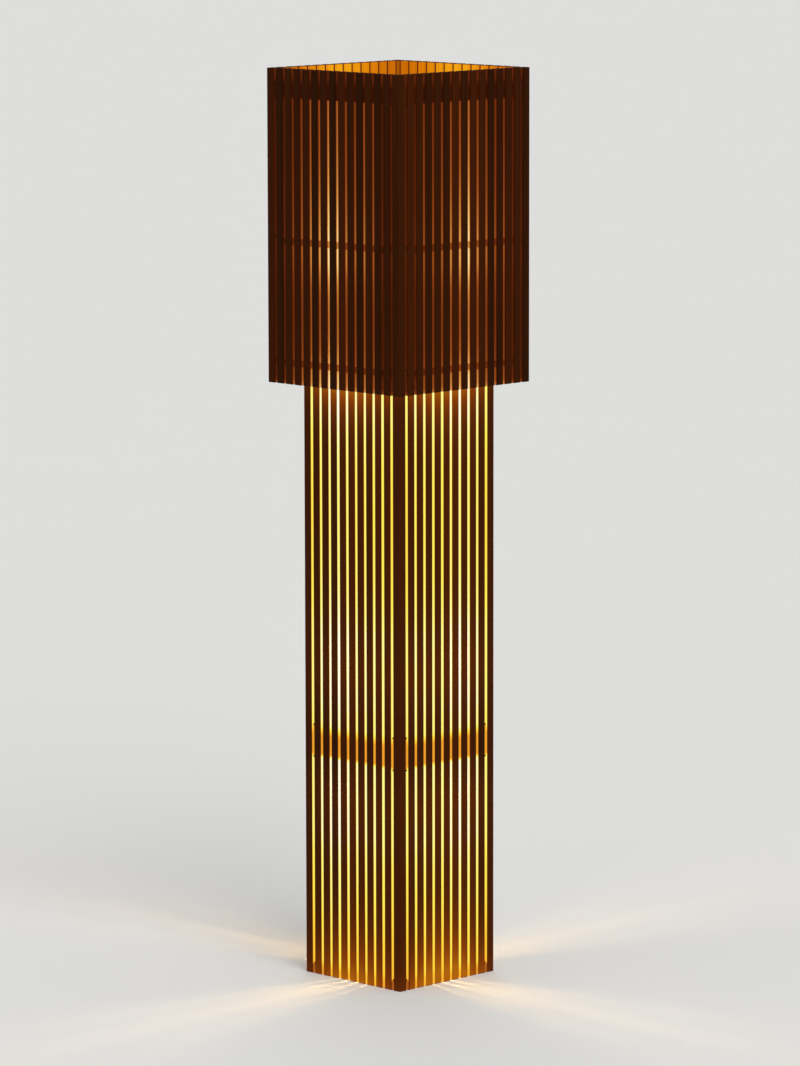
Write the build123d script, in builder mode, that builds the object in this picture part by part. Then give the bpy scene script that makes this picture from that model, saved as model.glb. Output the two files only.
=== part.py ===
"""Slatted floor lamp: a square column of thin sticks with a wider square shade hung over its top.

Both cages are built alike. Four corner posts and rows of slats, all of one square stock, stand
on the outside. Thin rails run inside each face. Where two rails cross near a corner they are
half-lapped, and their ends run on through the first gap of the next face, so that every post
sits in the outer quarter of a crossing and small square nails lock it there.

Millimetres. +Z is up, the origin is the middle of the footprint on the floor, and the four
faces look along -Y (front), +X (right), +Y (back) and -X (left).
"""

import os
from math import hypot, radians, tan

from build123d import *

# ---------------------------------------------------------------- driving dimensions

stick = 12.0                # side of the square stock of posts and slats
gap = 4.4                   # open gap between neighbouring sticks
ease = 0.5                  # eased edge of the stock

column_slats = 9            # slats in each face of the column, between its posts
shade_slats = 13            # slats in each face of the shade
total_height = 1200.0
shade_height = 411.0

rail_fit = 0.4              # a rail is this much thinner than the gap that it passes through
rail_end_recess = 3.0       # a rail's end stands back from the outer face
lap_play = 0.05             # clearance round a half-lap

thin_rail = 12.0            # height of the column's foot rails, on the floor, and top rails
deep_rail = 41.0            # height of the two rails that carry the lamps
mid_rail_base = 293.0       # underside of the lower deep rail
upper_rail_base = 856.0     # underside of the upper deep rail
shade_rail = 8.0            # height of the shade's middle and lower rails
shade_top_rail = 17.0       # height of the shade's top rail
shade_top_drop = 20.0       # from the shade's rim to its top rail
shade_mid_lift = 183.0      # from the shade's lower edge to its middle rail
shade_low_lift = 24.0       # from the shade's lower edge to its lower rail

lamp_bar_width = 30.0
lamp_bar_depth = 12.0
bar_play = 0.1

hanger_width = 20.0
hanger_depth = 12.0
hanger_housing = 6.0        # how far a hanger is let into the shade's top rail
hanger_notch = 4.0          # how far a hanger drops over the column's walls
hanger_play = 0.5           # room each side of the column's wall
hanger_spread = 80.0        # between the two hangers' middles

nail = 1.8                  # square nail
nail_bite = 3.0             # how deep a nail sits in the wood each side of the gap

nipple_radius = 4.9         # threaded tube that carries two lampholders
nipple_bore = 3.0
nipple_reach = 8.0          # into each holder
nipple_play = 0.15

holder_height = 44.0
holder_flange_radius = 15.0
holder_flange = 3.0
holder_radius = 13.0
holder_shoulder = 14.0      # height where the base cone meets the barrel
holder_lip = 0.8
holder_lip_height = 4.0
holder_floor = 12.0         # solid base under the contacts
holder_well = 8.0           # radius of the well under the contact
holder_contact_room = 6.0
entry_height = 7.0          # the lead's entry above the bar
entry_depth = 3.0

cap_radius = 8.35           # bulb's screw cap
cap_play = 0.1
cap_length = 21.0
contact_radius = 4.0
contact_length = 3.0
seat_gap = 1.0              # between the holder's rim and the bulb's collar
collar_foot_radius = 9.5
collar_radius = 17.0
collar_height = 19.0
globe_radius = 17.5
globe_straight = 8.0

lead_radius = 2.2
lead_play = 0.05
lead_off_rail = 0.6
bend_share = 0.45           # of the shorter run beside a bend, taken up by the bend
clip_width = 9.0
clip_height = 8.0
clip_wall = 1.6
lower_clips = 3             # clips on the lower lead
upper_clips = 4

block_height = 16.0         # terminal block inside the foot
block_depth = 14.0
block_base = 24.0
block_edge = 1.0
block_well = 3.0
block_well_depth = 4.0

grommet_bore = 2.9
grommet_wall = 0.9
grommet_flange = 1.0
grommet_lip = 1.0
grommet_play = 0.1

# ---------------------------------------------------------------- derived sizes

pitch = stick + gap
rail = gap - rail_fit
column_side = (column_slats + 2) * stick + (column_slats + 1) * gap
shade_side = (shade_slats + 2) * stick + (shade_slats + 1) * gap
column_inner = column_side / 2 - stick          # from the axis to the slats' inner faces
shade_inner = shade_side / 2 - stick
shade_base = total_height - shade_height
shade_top_base = total_height - shade_top_drop - shade_top_rail
shade_mid_base = shade_base + shade_mid_lift
shade_low_base = shade_base + shade_low_lift
hanger_top = shade_top_base + hanger_housing
hanger_base = hanger_top - hanger_depth
column_top = hanger_base + hanger_notch
top_rail_base = column_top - thin_rail
lower_bar_top = mid_rail_base + deep_rail
upper_bar_top = upper_rail_base + deep_rail
cord_height = thin_rail / 2
lead_x = 2 * pitch                              # the leads rise along the second slats
lead_y = column_inner - rail - lead_off_rail - lead_radius

faces = {"front": 0, "right": 90, "back": 180, "left": 270}
corners = {
    "front_left": (-1, -1),
    "front_right": (1, -1),
    "back_right": (1, 1),
    "back_left": (-1, 1),
}


def over(base, height):
    """Height of a nail that lies on a rail."""
    return base + height + nail / 2


def under(base):
    """Height of a nail that lies below a rail."""
    return base - nail / 2


column_nail_heights = (
    over(0, thin_rail),
    under(mid_rail_base),
    over(mid_rail_base, deep_rail),
    under(upper_rail_base),
    over(upper_rail_base, deep_rail),
    under(top_rail_base),
)
shade_nail_heights = (
    over(shade_low_base, shade_rail),
    over(shade_mid_base, shade_rail),
    under(shade_top_base),
    over(shade_top_base, shade_top_rail),
)

os.makedirs("parts", exist_ok=True)


def save(part, name):
    """Label a finished piece and write it under its own name."""
    part.label = name
    export_step(part, f"parts/{name}.step")


# ---------------------------------------------------------------- nails

def nail_boxes(side, heights, mode=Mode.ADD):
    """Square nails across the first and last gap of every face, one at each height.

    Each crosses from the post into the first slat, over or under the rail's end.
    """
    across = (side - gap) / 2 - stick
    outward = (side - nail) / 2 - rail_end_recess
    places = [(sign * across, -outward, z) for sign in (-1, 1) for z in heights]
    with PolarLocations(0, 4):
        with Locations(*places):
            Box(gap + 2 * nail_bite, nail, nail, mode=mode)


with BuildPart() as column_nails:
    nail_boxes(column_side, column_nail_heights)
save(column_nails.part, "column_nails")

with BuildPart() as shade_nails:
    nail_boxes(shade_side, shade_nail_heights)
save(shade_nails.part, "shade_nails")


# ---------------------------------------------------------------- posts and slats

def corner_post(corner, side, bottom, top, nail_heights):
    """A corner post: one eased square stick, let in for its nails."""
    reach = (side - stick) / 2
    with BuildPart() as post:
        with BuildSketch(Plane.XY.offset(bottom)):
            with Locations((corner[0] * reach, corner[1] * reach)):
                Rectangle(stick, stick)
        extrude(amount=top - bottom)
        chamfer(post.edges(), ease)
        nail_boxes(side, nail_heights, Mode.SUBTRACT)
    return post.part


def slat_row(angle, side, count, bottom, top, nail_heights, cord_notch=0.0):
    """The slats of one face, evenly spaced between two posts; the middle one may be cut short."""
    with BuildPart() as row:
        with BuildSketch(Rot(0, 0, angle) * Plane.XY.offset(bottom)):
            with Locations((0, -(side - stick) / 2)):
                with GridLocations(pitch, 0, count, 1):
                    Rectangle(stick, stick)
        extrude(amount=top - bottom)
        chamfer(row.edges(), ease)
        nail_boxes(side, nail_heights, Mode.SUBTRACT)
        if cord_notch > 0:
            with BuildSketch(Rot(0, 0, angle) * Plane.XY.offset(bottom)):
                with Locations((0, -(side - stick) / 2)):
                    Rectangle(stick, stick)
            extrude(amount=cord_notch, mode=Mode.SUBTRACT)
    return row.part


for corner_name, corner in corners.items():
    column_post = corner_post(corner, column_side, 0, column_top, column_nail_heights)
    save(column_post, f"column_post_{corner_name}")
    shade_post = corner_post(corner, shade_side, shade_base, total_height, shade_nail_heights)
    save(shade_post, f"shade_post_{corner_name}")

for face, angle in faces.items():
    column_row = slat_row(
        angle,
        column_side,
        column_slats,
        0,
        column_top,
        column_nail_heights,
        thin_rail if face == "back" else 0.0,
    )
    save(column_row, f"column_slats_{face}")
    shade_row = slat_row(
        angle, shade_side, shade_slats, shade_base, total_height, shade_nail_heights
    )
    save(shade_row, f"shade_slats_{face}")


# ---------------------------------------------------------------- rails

def rail_outline(face, side, base, height):
    """Elevation of a rail: a board with a half-lap slot near each end, in the open sketch.

    Front and back rails are slotted from above, and the rails of the sides from below.
    """
    lap_x = side / 2 - stick - rail / 2
    lap_height = height / 2 + lap_play
    from_above = face in ("front", "back")
    lap_middle = base + height - lap_height / 2 if from_above else base + lap_height / 2
    with Locations((0, base + height / 2)):
        Rectangle(side - 2 * rail_end_recess, height)
    with Locations((-lap_x, lap_middle), (lap_x, lap_middle)):
        Rectangle(rail + 2 * lap_play, lap_height, mode=Mode.SUBTRACT)


def rail_plane(face, inner):
    """The upright plane of the slats' inner faces, where a rail's outer side lies."""
    outward = Vector(0, -1, 0).rotate(Axis.Z, faces[face])
    along = Vector(1, 0, 0).rotate(Axis.Z, faces[face])
    return Plane(origin=outward * inner, x_dir=along, z_dir=outward)


def column_rail(face, base, height, bar_housing=False, cord_hole=False):
    """One rail of the column, with a housing for a lamp bar or a hole for the grommet."""
    with BuildPart() as board:
        with BuildSketch(rail_plane(face, column_inner)):
            rail_outline(face, column_side, base, height)
            if bar_housing:
                with Locations((0, base + height - lamp_bar_depth / 2)):
                    Rectangle(lamp_bar_width + 2 * bar_play, lamp_bar_depth, mode=Mode.SUBTRACT)
            if cord_hole:
                with Locations((0, cord_height)):
                    Circle(grommet_bore + grommet_wall + grommet_play, mode=Mode.SUBTRACT)
        extrude(amount=-rail)
    return board.part


def shade_rail_ring(base, height, hanger_housings=False):
    """The four half-lapped rails of one level of the shade, as separate boards."""
    with BuildPart() as ring:
        for face in faces:
            with BuildSketch(rail_plane(face, shade_inner)):
                rail_outline(face, shade_side, base, height)
                if hanger_housings and face in ("right", "left"):
                    with GridLocations(hanger_spread, 0, 2, 1):
                        with Locations((0, base + hanger_housing / 2)):
                            Rectangle(
                                hanger_width + 2 * bar_play, hanger_housing, mode=Mode.SUBTRACT
                            )
            extrude(amount=-rail)
    return ring.part


for face in faces:
    carries_bar = face in ("front", "back")
    foot = column_rail(face, 0, thin_rail, cord_hole=face == "back")
    save(foot, f"column_foot_rail_{face}")
    save(column_rail(face, mid_rail_base, deep_rail, carries_bar), f"column_mid_rail_{face}")
    save(column_rail(face, upper_rail_base, deep_rail, carries_bar), f"column_upper_rail_{face}")
    save(column_rail(face, top_rail_base, thin_rail), f"column_top_rail_{face}")

save(shade_rail_ring(shade_top_base, shade_top_rail, hanger_housings=True), "shade_top_rails")
save(shade_rail_ring(shade_mid_base, shade_rail), "shade_mid_rails")
save(shade_rail_ring(shade_low_base, shade_rail), "shade_low_rails")


# ---------------------------------------------------------------- hangers and lamp bars

def hanger(y):
    """A bar across the shade, notched underneath to drop over the column's side walls."""
    wall_middle = (column_inner - rail + column_side / 2) / 2
    wall = column_side / 2 - column_inner + rail
    with BuildPart() as bar:
        with BuildSketch(Plane.XZ.offset(-y)):
            with Locations((0, hanger_base + hanger_depth / 2)):
                Rectangle(2 * shade_inner, hanger_depth)
            notch_z = hanger_base + hanger_notch / 2
            with Locations((-wall_middle, notch_z), (wall_middle, notch_z)):
                Rectangle(wall + 2 * hanger_play, hanger_notch, mode=Mode.SUBTRACT)
        extrude(amount=hanger_width / 2, both=True)
        chamfer(bar.edges().filter_by(Axis.X).group_by(Axis.Z)[-1], ease)
    return bar.part


def lamp_bar(top):
    """A bar from the front rail to the back one, bored for the lampholders' nipple."""
    with BuildPart() as bar:
        with BuildSketch(Plane.XY.offset(top)):
            Rectangle(lamp_bar_width, 2 * column_inner)
            Circle(nipple_radius + nipple_play, mode=Mode.SUBTRACT)
        extrude(amount=-lamp_bar_depth)
        chamfer(bar.edges().filter_by(Axis.Y), ease)
    return bar.part


save(hanger(-hanger_spread / 2), "shade_hanger_front")
save(hanger(hanger_spread / 2), "shade_hanger_back")
save(lamp_bar(lower_bar_top), "lower_lamp_bar")
save(lamp_bar(upper_bar_top), "upper_lamp_bar")


# ---------------------------------------------------------------- lampholders and bulbs

def lamp_plane(z, up):
    """Upright plane through the axis, whose own y runs away from the bar."""
    return Plane(origin=(0, 0, z), x_dir=(1, 0, 0), z_dir=(0, -1 if up else 1, 0))


def nipple(bar_top):
    """Threaded tube through a lamp bar, reaching into the holder on each side."""
    length = lamp_bar_depth + 2 * nipple_reach
    with BuildPart() as tube:
        with BuildSketch(Plane.XY.offset(bar_top + nipple_reach)):
            Circle(nipple_radius)
            Circle(nipple_bore, mode=Mode.SUBTRACT)
        extrude(amount=-length)
    return tube.part


def lampholder(z, up, entries=()):
    """A flanged holder turned about the axis, with a bore for the bulb and entries for leads.

    An entry is the x side, -1 or 1, on which a lead comes in.
    """
    lip_radius = holder_radius + holder_lip
    bore = cap_radius + cap_play
    with BuildPart() as holder:
        with BuildSketch(lamp_plane(z, up)):
            with BuildLine():
                Polyline(
                    (nipple_radius + nipple_play, 0),
                    (holder_flange_radius, 0),
                    (holder_flange_radius, holder_flange),
                    (holder_radius, holder_shoulder),
                    (holder_radius, holder_height - holder_lip_height),
                    (lip_radius, holder_height - holder_lip_height + holder_lip),
                    (lip_radius, holder_height),
                    (bore, holder_height),
                    (bore, holder_floor + holder_contact_room),
                    (holder_well, holder_floor),
                    (nipple_radius + nipple_play, holder_floor),
                    close=True,
                )
            make_face()
        revolve(axis=Axis.Z)
        for side in entries:
            inward = Vector(side * lead_x, lead_y, 0).normalized()
            start = inward * (holder_radius - entry_depth)
            with BuildSketch(Plane(origin=start + Vector(0, 0, z + entry_height), z_dir=inward)):
                Circle(lead_radius + lead_play)
            extrude(amount=holder_flange_radius, mode=Mode.SUBTRACT)
    return holder.part


def bulb_base(z, up):
    """Screw cap, contact and flared collar of a bulb."""
    seat = holder_height + seat_gap
    with BuildPart() as base:
        with BuildSketch(lamp_plane(z, up)):
            with BuildLine():
                Polyline(
                    (0, seat - cap_length - contact_length),
                    (contact_radius, seat - cap_length - contact_length),
                    (contact_radius, seat - cap_length),
                    (cap_radius, seat - cap_length + contact_length),
                    (cap_radius, seat),
                    (collar_foot_radius, seat),
                )
                Spline(
                    (collar_foot_radius, seat),
                    (collar_radius, seat + collar_height),
                    tangents=((0.35, 1), (0.1, 1)),
                )
                Polyline(
                    (collar_radius, seat + collar_height),
                    (0, seat + collar_height),
                    (0, seat - cap_length - contact_length),
                )
            make_face()
        revolve(axis=Axis.Z)
    return base.part


def bulb_globe(z, up):
    """Opal dome of a bulb, on its collar."""
    seat = holder_height + seat_gap + collar_height
    shoulder = seat + globe_straight
    with BuildPart() as globe:
        with BuildSketch(lamp_plane(z, up)):
            with BuildLine():
                Polyline((0, shoulder + globe_radius), (0, seat), (collar_radius, seat))
                Line((collar_radius, seat), (globe_radius, shoulder))
                RadiusArc((globe_radius, shoulder), (0, shoulder + globe_radius), -globe_radius)
            make_face()
        revolve(axis=Axis.Z)
    return globe.part


lamp_places = {
    "lower_up": (lower_bar_top, True, (-1, 1)),
    "lower_down": (lower_bar_top - lamp_bar_depth, False, ()),
    "upper_up": (upper_bar_top, True, (1,)),
    "upper_down": (upper_bar_top - lamp_bar_depth, False, ()),
}
for place, (z, up, entries) in lamp_places.items():
    save(lampholder(z, up, entries), f"lampholder_{place}")
    save(bulb_base(z, up), f"bulb_base_{place}")
    save(bulb_globe(z, up), f"bulb_globe_{place}")

save(nipple(lower_bar_top), "lower_nipple")
save(nipple(upper_bar_top), "upper_nipple")


# ---------------------------------------------------------------- leads and their fittings

def bend_radii(points):
    """Radius of each bend of a route, as large as the runs beside it allow."""
    radii = []
    for before, bend, after in zip(points, points[1:], points[2:]):
        arriving = Vector(*bend) - Vector(*before)
        leaving = Vector(*after) - Vector(*bend)
        half_turn = radians(arriving.get_angle(leaving) / 2)
        radii.append(bend_share * min(arriving.length, leaving.length) / tan(half_turn))
    return radii


def lead(points):
    """A round lead swept along straight runs joined by tangent bends."""
    radii = bend_radii(points)
    print("lead bend radii", [round(radius, 1) for radius in radii])
    with BuildPart() as sheath:
        with BuildLine() as route:
            FilletPolyline(*points, radius=radii)
        with BuildSketch(Plane(origin=route.line @ 0, z_dir=route.line % 0)):
            Circle(lead_radius)
        sweep(path=route.line)
    return sheath.part


def holder_entry(side, bar_top):
    """The point inside a holder's wall where a lead ends."""
    span = hypot(lead_x, lead_y)
    reach = (holder_radius - entry_depth + lead_play) / span
    return (side * lead_x * reach, lead_y * reach, bar_top + entry_height)


block_top = block_base + block_height
lower_route = (
    (-lead_x, lead_y, block_top - block_well_depth),
    (-lead_x, lead_y, lower_bar_top + entry_height),
    holder_entry(-1, lower_bar_top),
)
upper_route = (
    holder_entry(1, lower_bar_top),
    (lead_x, lead_y, lower_bar_top + entry_height),
    (lead_x, lead_y, upper_bar_top + entry_height),
    holder_entry(1, upper_bar_top),
)
save(lead(lower_route), "lower_lead")
save(lead(upper_route), "upper_lead")

clip_runs = (
    (-lead_x, block_top, mid_rail_base, lower_clips),
    (lead_x, lower_bar_top, upper_rail_base, upper_clips),
)
with BuildPart() as clips:
    for clip_x, run_bottom, run_top, count in clip_runs:
        for number in range(1, count + 1):
            height = run_bottom + (run_top - run_bottom) * number / (count + 1)
            with BuildSketch(Plane.XY.offset(height - clip_height / 2)):
                with Locations((clip_x, (lead_y + column_inner) / 2)):
                    Rectangle(clip_width, column_inner - lead_y)
                with Locations((clip_x, lead_y)):
                    Circle(clip_width / 2)
                    Circle(lead_radius + lead_play, mode=Mode.SUBTRACT)
            extrude(amount=clip_height)
save(clips.part, "lead_clips")

block_x = -1.5 * pitch
block_width = pitch + stick
with BuildPart() as block:
    with BuildSketch(Plane.XY.offset(block_base)):
        with Locations((block_x, column_inner - block_depth / 2)):
            Rectangle(block_width, block_depth)
    extrude(amount=block_height)
    chamfer(block.edges().group_by(Axis.Y)[0], block_edge)
    with BuildSketch(Plane.XZ.offset(block_depth - column_inner)):
        with Locations((block_x, block_base + block_height / 2)):
            with GridLocations(block_width / 2, 0, 2, 1):
                Circle(block_well)
    extrude(amount=-block_well_depth, mode=Mode.SUBTRACT)
    with BuildSketch(Plane.XY.offset(block_top)):
        with Locations((-lead_x, lead_y)):
            Circle(lead_radius + lead_play)
    extrude(amount=-block_well_depth, mode=Mode.SUBTRACT)
save(block.part, "terminal_block")

sleeve_radius = grommet_bore + grommet_wall
flange_radius = sleeve_radius + grommet_flange
with BuildPart() as grommet:
    with BuildSketch(Plane.XZ.offset(-column_inner - grommet_lip)):
        with Locations((0, cord_height)):
            Circle(sleeve_radius)
    extrude(amount=rail + 2 * grommet_lip)
    for lip_start in (column_inner + grommet_lip, column_inner - rail):
        with BuildSketch(Plane.XZ.offset(-lip_start)):
            with Locations((0, cord_height)):
                Circle(flange_radius)
        extrude(amount=grommet_lip)
    with BuildSketch(Plane.XZ.offset(-column_inner - grommet_lip)):
        with Locations((0, cord_height)):
            Circle(grommet_bore)
    extrude(amount=rail + 2 * grommet_lip, mode=Mode.SUBTRACT)
save(grommet.part, "cord_grommet")
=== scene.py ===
"""Dresses the slatted floor lamp: dark oiled sticks, lit from inside by four small bulbs."""

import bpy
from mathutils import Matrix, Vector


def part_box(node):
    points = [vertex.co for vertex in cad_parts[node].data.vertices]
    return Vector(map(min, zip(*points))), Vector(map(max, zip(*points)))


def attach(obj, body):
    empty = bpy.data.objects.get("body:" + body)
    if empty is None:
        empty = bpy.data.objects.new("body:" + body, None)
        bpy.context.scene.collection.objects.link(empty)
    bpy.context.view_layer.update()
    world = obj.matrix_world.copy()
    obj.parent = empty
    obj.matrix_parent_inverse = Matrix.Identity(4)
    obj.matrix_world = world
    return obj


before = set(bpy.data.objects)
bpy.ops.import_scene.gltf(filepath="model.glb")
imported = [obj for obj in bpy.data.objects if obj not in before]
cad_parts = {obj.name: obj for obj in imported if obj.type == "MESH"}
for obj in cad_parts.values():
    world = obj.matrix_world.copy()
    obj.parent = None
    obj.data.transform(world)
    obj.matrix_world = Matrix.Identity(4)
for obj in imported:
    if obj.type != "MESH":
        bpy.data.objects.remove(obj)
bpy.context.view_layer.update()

import math

import bpy
from bpy.props import FloatProperty, FloatVectorProperty, IntProperty, PointerProperty
from mathutils import Quaternion, Vector

bl_info = {
    "name": "Slatted floor lamp",
    "version": (1, 0, 0),
    "blender": (4, 5, 0),
    "location": "View3D > Sidebar > Lamp",
    "description": "Finishes, small fittings, light and stage of a slatted floor lamp",
    "category": "Object",
}

FACES = ("front", "right", "back", "left")
CORNERS = ("front_left", "front_right", "back_right", "back_left")
LAMPS = ("lower_up", "lower_down", "upper_up", "upper_down")

# Faces that share a finish, and the axis along which their rails run
FACE_PAIRS = (("front_back", "x", FACES[::2]), ("left_right", "y", FACES[1::2]))


def linear(red, green, blue):
    """A colour given in the usual 0 to 255 steps, as the linear values that Blender keeps."""
    steps = (red / 255, green / 255, blue / 255)
    return tuple(c / 12.92 if c <= 0.04045 else ((c + 0.055) / 1.055) ** 2.4 for c in steps)


def middle(node):
    """Middle of a CAD piece's box, in metres."""
    low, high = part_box(node)
    return (low + high) / 2


def heights(node):
    """Lowest and highest point of a CAD piece, in metres above the floor."""
    low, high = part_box(node)
    return low[2], high[2]


# ------------------------------------------------------------------ colours of the lamp's light
# Each runs from 0, unlit, to 1, as bright as it gets. GLOW lies on the walls of the column's gaps
# and inside the column, EMBER on the walls of the shade's gaps and INNER on the shade's inside.
# BOUNCE is what falls back on the outside of the column.

GLOW = (
    (0.0, (0.0, 0.0, 0.0)),
    (0.05, linear(60, 25, 8)),
    (0.12, linear(106, 46, 15)),
    (0.22, linear(154, 78, 24)),
    (0.36, linear(208, 128, 46)),
    (0.5, linear(243, 166, 42)),
    (0.62, linear(255, 212, 58)),
    (0.75, linear(255, 238, 90)),
    (0.87, linear(255, 250, 142)),
    (1.0, linear(255, 253, 232)),
)

EMBER = (
    (0.0, (0.0, 0.0, 0.0)),
    (0.05, linear(62, 22, 7)),
    (0.12, linear(108, 42, 12)),
    (0.22, linear(156, 80, 28)),
    (0.36, linear(214, 142, 66)),
    (0.5, linear(246, 196, 112)),
    (0.65, linear(255, 226, 160)),
    (1.0, linear(255, 246, 214)),
)

INNER = (
    (0.0, (0.0, 0.0, 0.0)),
    (0.25, linear(170, 82, 2)),
    (0.45, linear(216, 122, 3)),
    (0.65, linear(238, 160, 16)),
    (1.0, linear(250, 198, 44)),
)

BOUNCE = (
    (0.0, (0.0, 0.0, 0.0)),
    (0.1, linear(46, 15, 0)),
    (0.5, linear(122, 54, 2)),
    (1.0, linear(164, 94, 8)),
)


# ------------------------------------------------------------------ shader maths


class Value:
    """A number that varies over a surface: a socket whose arithmetic adds Math nodes."""

    def __init__(self, finish, socket):
        self.finish = finish
        self.socket = socket

    def _with(self, operation, *others, swapped=False):
        terms = (*others, self) if swapped else (self, *others)
        return self.finish.maths(operation, *terms)

    def __add__(self, other):
        return self._with("ADD", other)

    __radd__ = __add__

    def __sub__(self, other):
        return self._with("SUBTRACT", other)

    def __rsub__(self, other):
        return self._with("SUBTRACT", other, swapped=True)

    def __mul__(self, other):
        return self._with("MULTIPLY", other)

    __rmul__ = __mul__

    def __rtruediv__(self, other):
        return self._with("DIVIDE", other, swapped=True)

    def __neg__(self):
        return self * -1.0

    def __abs__(self):
        return self._with("ABSOLUTE")

    def sign(self):
        return self._with("SIGN")

    def floor(self):
        return self._with("FLOOR")

    def highest(self, other):
        return self._with("MAXIMUM", other)

    def lowest(self, other):
        return self._with("MINIMUM", other)

    def over(self, limit):
        """1 where the value is above the limit, otherwise 0."""
        return self._with("GREATER_THAN", limit)

    def rise(self, start, end):
        """A smooth step from 0 at start to 1 at end."""
        made = self.finish.node(
            "ShaderNodeMapRange",
            {"interpolation_type": "SMOOTHSTEP"},
            {"Value": self, "From Min": start, "From Max": end, "To Min": 0.0, "To Max": 1.0},
        )
        return Value(self.finish, made.outputs["Result"])

    def rise_about(self, place, edges):
        """A smooth step from 0 to 1 between two edges, which are given from a place."""
        before, after = edges
        return self.rise(place + before, place + after)

    def band(self, low, high, soft):
        """1 between low and high, falling to 0 over a soft edge outside them."""
        return self.rise(low - soft, low) * (1 - self.rise(high, high + soft))

    def fade(self, reach):
        """1 at 0, falling to about a third one reach away, and on towards 0."""
        return (self * (-1 / reach))._with("EXPONENT")

    def hump(self, centre, width):
        """1 at the centre, 0.5 one width away from it, and towards 0 beyond."""
        offset = (self - centre) * (1 / width)
        return 1 / (offset * offset + 1)

    def ridges(self):
        """A row of straight flanks: 1 at each whole number and 0 halfway between two."""
        return abs(self - self.floor() - 0.5) * 2


def towards(first, second, share):
    """The first value where the share is 0, the second where it is 1, and a mix between."""
    return first + (second - first) * share


class Finish:
    """One material and the nodes that it is made of."""

    def __init__(self, name):
        self.material = bpy.data.materials.new(name)
        self.material.use_nodes = True
        self.tree = self.material.node_tree
        self.surface = self.tree.nodes["Principled BSDF"]
        place = self.node("ShaderNodeTexCoord")
        self.place = place.outputs["Object"]
        axes = self.node("ShaderNodeSeparateXYZ", {}, {"Vector": self.place})
        self.x, self.y, self.z = (Value(self, axes.outputs[i]) for i in range(3))
        facing = self.node("ShaderNodeNewGeometry")
        sides = self.node("ShaderNodeSeparateXYZ", {}, {"Vector": facing.outputs["Normal"]})
        self.nx, self.ny, self.nz = (Value(self, sides.outputs[i]) for i in range(3))

    def node(self, kind, settings=None, values=None):
        """Adds a node: settings first, then each socket's value, colour or link."""
        made = self.tree.nodes.new(kind)
        for key, setting in (settings or {}).items():
            if key == "stops":
                self._set_stops(made, setting)
            else:
                setattr(made, key, setting)
        for key, value in (values or {}).items():
            self.feed(made.inputs[key], value)
        return made

    @staticmethod
    def _set_stops(made, stops):
        ramp = made.color_ramp
        while len(ramp.elements) < len(stops):
            ramp.elements.new(0.5)
        for element, (position, colour) in zip(ramp.elements, stops):
            element.position = position
            element.color = (*colour, 1.0)

    def feed(self, socket, value):
        """Gives a socket a link, a number or a colour."""
        if isinstance(value, Value):
            self.tree.links.new(value.socket, socket)
        elif isinstance(value, bpy.types.NodeSocket):
            self.tree.links.new(value, socket)
        elif socket.type == "RGBA":
            socket.default_value = (*tuple(value)[:3], 1.0)
        else:
            socket.default_value = value

    def maths(self, operation, *terms):
        made = self.node("ShaderNodeMath", {"operation": operation}, dict(enumerate(terms)))
        return Value(self, made.outputs[0])

    def on_sides(self):
        """1 on the lamp's left and right faces, 0 on its front and back ones."""
        return (abs(self.x) - abs(self.y)).over(0.0)

    def point(self, x, y, z):
        """A vector from three values."""
        return self.node("ShaderNodeCombineXYZ", {}, {0: x, 1: y, 2: z}).outputs[0]

    def noise(self, where, scale=1.0, detail=2.0, roughness=0.5):
        """Smooth noise from 0 to 1, read at a vector."""
        made = self.node(
            "ShaderNodeTexNoise",
            {"noise_dimensions": "3D"},
            {"Vector": where, "Scale": scale, "Detail": detail, "Roughness": roughness},
        )
        return Value(self, made.outputs[0])

    def chance(self, where):
        """A fixed random number from 0 to 1 for each vector."""
        made = self.node("ShaderNodeTexWhiteNoise", {"noise_dimensions": "3D"}, {"Vector": where})
        return Value(self, made.outputs["Value"])

    def ramp(self, value, stops):
        """Colour of a value between stops of position and colour."""
        made = self.node("ShaderNodeValToRGB", {"stops": stops}, {"Fac": value})
        return made.outputs["Color"]

    def blend(self, share, first, second, how="MIX"):
        """Colour between two, or the two put together in the way that how names."""
        made = self.node(
            "ShaderNodeMix",
            {"data_type": "RGBA", "blend_type": how},
            {0: share, 6: first, 7: second},
        )
        return made.outputs[2]

    def bump(self, height, depth, strength=1.0):
        """Relief of a height from 0 to 1, as deep as depth in metres."""
        made = self.node(
            "ShaderNodeBump", {}, {"Height": height, "Distance": depth, "Strength": strength}
        )
        self.feed(self.surface.inputs["Normal"], made.outputs["Normal"])

    def set(self, **values):
        """Sets the surface's own sockets, named with underscores for spaces."""
        for key, value in values.items():
            self.feed(self.surface.inputs[key.replace("_", " ")], value)

    def set_light(self, *lights):
        """The lamp light on a surface: the sum of amounts from 0 to 1, each with its colours."""
        colour = None
        for amount, stops in lights:
            added = self.ramp(amount, stops)
            colour = added if colour is None else self.blend(1.0, colour, added, "ADD")
        self.set(Emission_Color=colour, Emission_Strength=1.0)

    def put_on(self, *names):
        """Gives the finish to CAD pieces, in place of what they came with."""
        for name in names:
            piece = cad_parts[name]
            piece.data.materials.clear()
            piece.data.materials.append(self.material)


# ------------------------------------------------------------------ sizes and colours


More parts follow.
